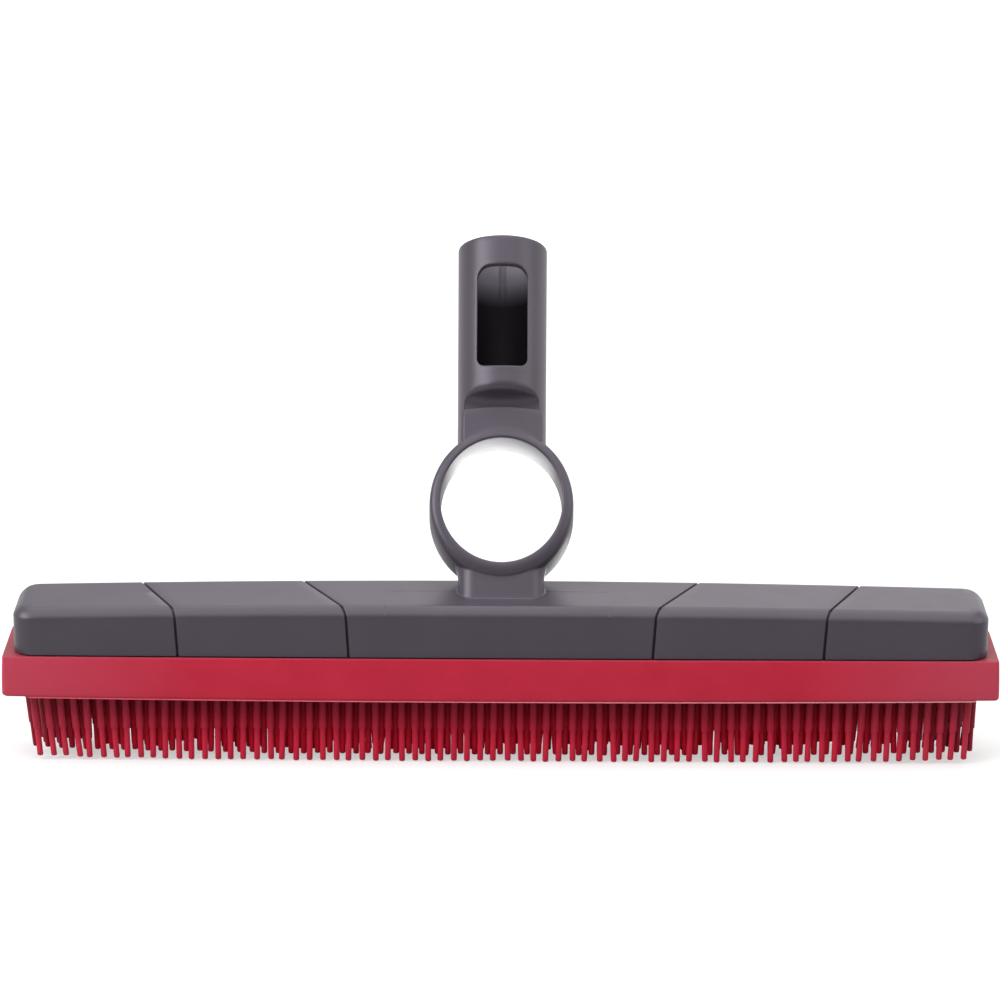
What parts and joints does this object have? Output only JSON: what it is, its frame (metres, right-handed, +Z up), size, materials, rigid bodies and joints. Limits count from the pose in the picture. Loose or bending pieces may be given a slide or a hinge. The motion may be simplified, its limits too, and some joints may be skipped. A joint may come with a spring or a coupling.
{
  "type": "rubber broom head",
  "caption": "Rubber broom head: a moulded plastic block with a leaning ring and handle socket, on a rubber pad with rows of stepped rubber strands.",
  "frame": {"origin": "on the floor at the tip of the middle strand, under the middle of the block", "axes": "+X along the block, +Y towards the back, the way the handle socket leans, +Z up from the strand tips"},
  "size_m": [0.3318, 0.0997, 0.1651],
  "materials": {
    "grey_plastic": "satin",
    "red_rubber": "satin"
  },
  "bodies": {
    "root": {"head": "grey_plastic", "rubber_pad": "red_rubber", "bristle_row_1": "red_rubber", "bristle_row_2": "red_rubber", "bristle_row_3": "red_rubber", "bristle_row_4": "red_rubber", "bristle_row_5": "red_rubber"}
  },
  "joints": []
}
